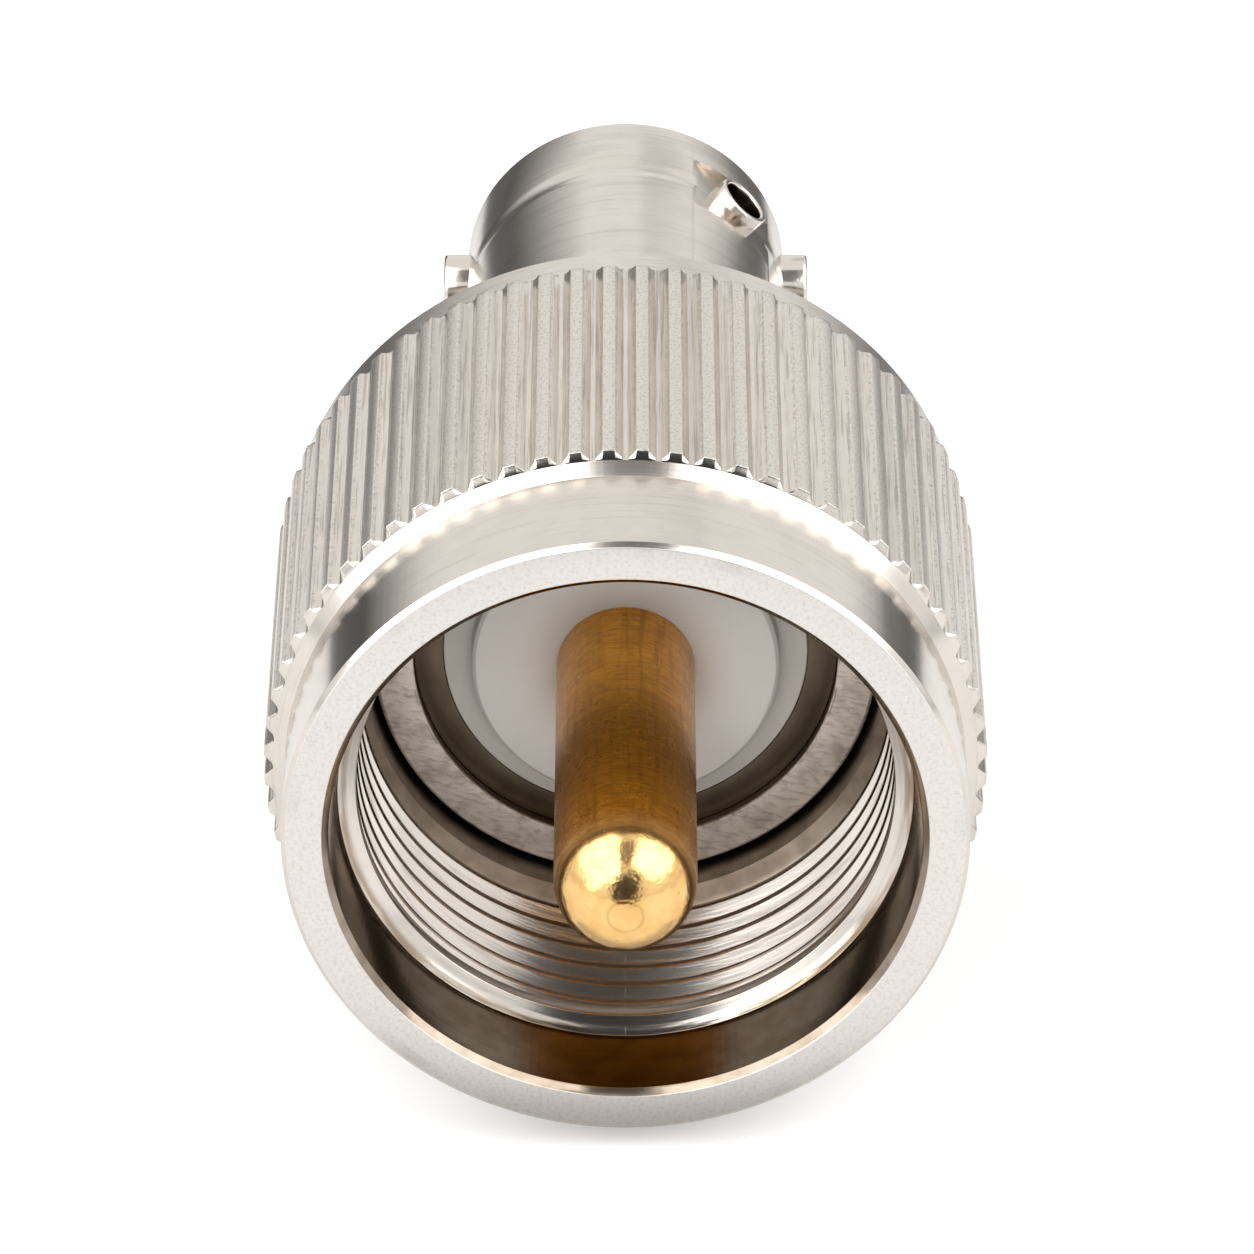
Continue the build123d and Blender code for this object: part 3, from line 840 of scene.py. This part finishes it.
gilt = {"gold": (0.86, 0.62, 0.26), "goldShade": (0.70, 0.46, 0.16)}
bronze = {"strip": (0.60, 0.38, 0.22), "stain": (0.40, 0.23, 0.12)}
plastic = {
    # the brown by the pin and the darker outer tone are painted shade
    "white": (0.96, 0.935, 0.90), "cloud": (0.91, 0.88, 0.84), "pinShade": (0.66, 0.56, 0.44),
    "outer": (0.66, 0.62, 0.56), "speck": (0.55, 0.48, 0.40),
}


def giltContact():
    paint = Paint("giltContact")
    _, y, _, _, angle = paint.place()
    rings = turnedLines(paint, y, angle, 8.0, 1.4)
    tone = paint.mix(rings, gilt["gold"], gilt["goldShade"])
    return paint.finish(bump=rings, bumpHeight=0.003, Base_Color=tone, Metallic=1.0, Roughness=0.22)


def springBronze():
    paint = Paint("springBronze")
    x, y, z, _, _ = paint.place()
    stain = grain(paint, x, y, z, 0.5)
    tone = paint.mix(stain.between(0.35, 0.7), bronze["strip"], bronze["stain"])
    return paint.finish(bump=stain, bumpHeight=0.004, Base_Color=tone, Metallic=1.0, Roughness=0.34)


def whitePlastic():
    paint = Paint("whitePlastic")
    p = plug
    x, y, z, away, angle = paint.place()
    cloud = grain(paint, x, y, z, 1.3, 2.0)
    speck = grain(paint, x, y, z, 0.12, 2.0)
    front = y.between(1.0, 2.0, 1.0, 0.0)
    # painted shade: a soft brown shadow round the pin on the insulator's face
    pinShadow = away.between(p["pinR"] - 0.2, p["dishR"] + 1.1, 1.0, 0.0) * front
    outer = away.between(p["bossR"] - 0.05, p["bossR"] + 0.1) * front
    tone = paint.mix(cloud.between(0.3, 0.7) * 0.4, plastic["white"], plastic["cloud"])
    tone = paint.mix(pinShadow * 0.55, tone, plastic["pinShade"])
    # painted shade: the insulator's lower ring outside the boss is darkened
    tone = paint.mix(outer * 0.5, tone, plastic["outer"])
    tone = paint.mix(speck.between(0.70, 0.80) * 0.25, tone, plastic["speck"])
    rings = turnedLines(paint, away, angle, 4.0, 0.6)
    height = rings + speck * 0.3
    return paint.finish(
        bump=height, bumpHeight=0.003, Base_Color=tone, Roughness=0.42, Specular_IOR_Level=0.35)


# dressing
insulation, lugMetal = whitePlastic(), nickelLug()
dress(buildNut(), "nut", nickelNut(), "nickel_nut", "coupling_nut")
dress(buildThread(), "nut", nickelThread(), "nickel_nut")
dress(buildShell(), "adapter", nickelShell(), "nickel_shell", "main_shell")
# the retaining ring's dark brown is painted shade
dress(buildRetainer(), "adapter", shadedNickel(), "dark_nickel", "insulator_retainer")
dress(buildFrontInsulator(), "adapter", insulation, "white_insulator", "front_insulator")
dress(buildPin(), "adapter", turnedBrass(), "bare_brass", "centre_pin")
socket = mergedCopy("socket_contact", "socketContact", 0.03)
dress(socket, "adapter", giltContact(), "gilt_contact", "socket_contact")
dress(buildRearInsulator(), "adapter", insulation, "white_insulator", "rear_insulator")
dress(buildLug("bayonetLugLeft", -1), "adapter", lugMetal, "nickel_lug", "bayonet_lug_left")
dress(buildLug("bayonetLugRight", 1), "adapter", lugMetal, "nickel_lug", "bayonet_lug_right")
dress(buildStud(), "adapter", lugMetal, "nickel_lug", "hollow_stud")
snapRing = mergedCopy("nut_snap_ring", "nutSnapRing", 0.03)
dress(snapRing, "ring", springBronze(), "spring_bronze", "nut_snap_ring")
print("all pieces dressed")

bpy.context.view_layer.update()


# floor, camera and light
def setUp(piece, **seen):
    for key, value in seen.items():
        setattr(piece, "visible_" + key, value)


def looks(paint):
    # one where the camera, metal or glass looks, nought elsewhere
    return paint.parts("LightPath", "Is Camera Ray", "Is Glossy Ray", "Is Transmission Ray")


floorLook = {"size": 6.0, "tone": 0.80, "lift": 0.26, "liftInMetal": 0.0}


def floorMaterial():
    # lifted to white for what the camera looks at; the lift for metal and glass is set to nought; the
    # shadow stays
    paint = Paint("paleFloor")
    camera, metal, glass = looks(paint)
    lift = camera * floorLook["lift"] + metal.math("MAXIMUM", glass) * floorLook["liftInMetal"]
    glow = paint.mix(lift, (0.0, 0.0, 0.0), (1.0, 1.0, 1.0))
    return paint.finish(
        Base_Color=(floorLook["tone"],) * 3, Roughness=1.0, Specular_IOR_Level=0.0,
        Emission_Color=glow, Emission_Strength=1.0)


def buildFloor():
    clearSelection()
    bpy.ops.mesh.primitive_plane_add(size=floorLook["size"], location=(0, 0, cadLow[2]))
    floor = bpy.context.object
    floor.name = "floor"
    bpy.ops.object.transform_apply(location=True, rotation=True, scale=True)
    floor.data.materials.append(floorMaterial())
    setUp(floor)


photoCamera = {
    "place": (0.00004, -0.2052, 0.1215), "looksDown": 30.42, "lens": 242.4, "sensor": 36, "near": 0.01,
}


def buildCamera():
    view = bpy.data.cameras.new("camera")
    view.lens = photoCamera["lens"]
    view.sensor_width = photoCamera["sensor"]
    view.clip_start = photoCamera["near"]
    camera = bpy.data.objects.new("camera", view)
    camera.location = photoCamera["place"]
    camera.rotation_euler = (math.radians(90 - photoCamera["looksDown"]), 0, 0)
    bpy.context.scene.collection.objects.link(camera)
    bpy.context.scene.camera = camera


light = {
    "onMatt": 0.30,
    "boxes": {
        "leftBox": {
            "place": (-0.212, -0.091, 0.237), "size": (0.40, 0.52),
            "long": (0.045, 0.501, 0.20), "glow": 2.2,
        },
        "rightBox": {
            "place": (0.230, -0.033, 0.235), "size": (0.34, 0.50),
            "long": (0.03, 0.52, -0.02), "glow": 2.2,
        },
    },
    "fill": {"place": (0.0, -0.36, 0.16), "size": (0.22, 0.16), "glow": 2.8},
    "cards": {
        "cardBackLeft": {
            "corners": [
                (-0.080, 0.040, -0.0099), (-0.012, 0.060, -0.0099),
                (-0.022, 0.110, 0.050), (-0.130, 0.080, 0.050),
            ],
            "fade": (0.000, 0.045), "dark": 0.88,
        },
        "cardBackRight": {
            "corners": [
                (0.014, 0.060, -0.0099), (0.080, 0.040, -0.0099),
                (0.110, 0.060, 0.028), (0.020, 0.086, 0.028),
            ],
            "fade": (-0.006, 0.024), "dark": 0.88,
        },
        "cardBackStrip": {
            "corners": [
                (0.012, 0.13, 0.045), (0.044, 0.13, 0.045),
                (0.044, 0.13, 0.105), (0.012, 0.13, 0.105),
            ],
            "fade": (0.2, 0.3), "dark": 0.25,
        },
        # painted shadow: a dark sheet on the floor in front of the rim, seen only by the metal, standing
        # in for the floor's contact shadow
        "cardFootShadow": {
            "corners": [
                (-0.009, -0.0100, -0.00985), (0.009, -0.0100, -0.00985),
                (0.009, -0.0170, -0.00985), (-0.009, -0.0170, -0.00985),
            ],
            "fade": (-0.0108, -0.0160), "axis": "y", "dark": 0.50,
        },
        "cardStrip": {
            "corners": [
                (-0.026, -0.16, 0.19), (0.046, -0.16, 0.19),
                (0.060, 0.03, 0.30), (-0.034, 0.03, 0.30),
            ],
            "fade": (0.5, 0.6), "dark": 0.80,
        },
    },
    "cameraCard": {"place": (0.0, -0.097, 0.025), "size": (0.036, 0.048), "dark": 0.97},
}


def buildWorld():
    # white wherever the camera, metal or glass looks; softer on matt surfaces, which the lamps light too
    paint = Paint("studio", world=True)
    camera, metal, glass = looks(paint)
    seen = camera.math("MAXIMUM", metal).math("MAXIMUM", glass)
    strength = paint.node("MapRange", None, seen, 0.0, 1.0, light["onMatt"], 1.0)
    background = paint.node("Background", Color=(1.0, 1.0, 1.0), Strength=strength)
    paint.node("OutputWorld", Surface=background)
    bpy.context.scene.world = paint.owner


def turnTo(place, long=None):
    # faces the adapter, with its long side along the given way
    back = Vector(place).normalized()
    if long is None:
        return (-back).to_track_quat("-Z", "Y").to_euler()
    up = (Vector(long) - back * back.dot(Vector(long))).normalized()
    return Matrix((up.cross(back), up, back)).transposed().to_euler()


def buildBox(name, box, metalSees=True):
    lamp = bpy.data.lights.new(name, "AREA")
    lamp.shape = "RECTANGLE"
    lamp.size, lamp.size_y = box["size"]
    lamp.energy = box["glow"] * math.pi * box["size"][0] * box["size"][1]
    holder = bpy.data.objects.new(name, lamp)
    holder.location = box["place"]
    holder.rotation_euler = turnTo(box["place"], box.get("long"))
    holder.visible_glossy = metalSees
    bpy.context.scene.collection.objects.link(holder)


def buildBoxes():
    # two soft boxes, left and right of the camera, and a weak one that fills the plug's mouth
    for name, box in light["boxes"].items():
        buildBox(name, box)
    buildBox("fillBox", light["fill"], metalSees=False)


def cardMaterial(name, dark, fade=(0.5, 0.6), axis="z"):
    # black, fading to nothing between two heights, or between two places along the axis;
    # a fade that lies past the card leaves it even
    paint = Paint(name)
    _, y, z, _, _ = paint.place()
    low, high = fade[0] / mm, fade[1] / mm
    if axis == "z":
        share = z.between(low, high, dark, 0.0)
    else:
        share = (-y).between(-low, -high, dark, 0.0)
    clear = paint.node("BsdfTransparent")
    black = paint.node("BsdfDiffuse", Color=(0.0, 0.0, 0.0))
    paint.node("OutputMaterial", Surface=paint.node("MixShader", None, share, clear, black))
    return paint.owner


def buildCards():
    # dark cards that only the metal sees
    unseen = {"camera": False, "diffuse": False, "shadow": False, "transmission": False}
    for name, sheet in light["cards"].items():
        clearSelection()
        bpy.ops.mesh.primitive_plane_add(size=0.1)
        card = bpy.context.object
        card.name = card.data.name = name
        first, second, third, fourth = sheet["corners"]
        for vertex, corner in zip(card.data.vertices, (first, second, fourth, third)):
            vertex.co = corner
        black = cardMaterial(name, sheet["dark"], sheet["fade"], sheet.get("axis", "z"))
        card.data.materials.append(black)
        setUp(card, **unseen)
    clearSelection()
    spot = light["cameraCard"]
    turn = turnTo(spot["place"])
    bpy.ops.mesh.primitive_circle_add(
        vertices=48, radius=1, fill_type="NGON", location=spot["place"], rotation=turn)
    card = bpy.context.object
    card.name = card.data.name = "cardCamera"
    card.scale = (*spot["size"], 1)
    bpy.ops.object.transform_apply(location=True, rotation=True, scale=True)
    card.data.materials.append(cardMaterial("cardCamera", spot["dark"]))
    setUp(card, **unseen)


buildFloor()
buildCamera()
buildWorld()
buildBoxes()
buildCards()
print("floor, camera and light are in place")
bpy.context.scene.view_settings.view_transform = "Standard"
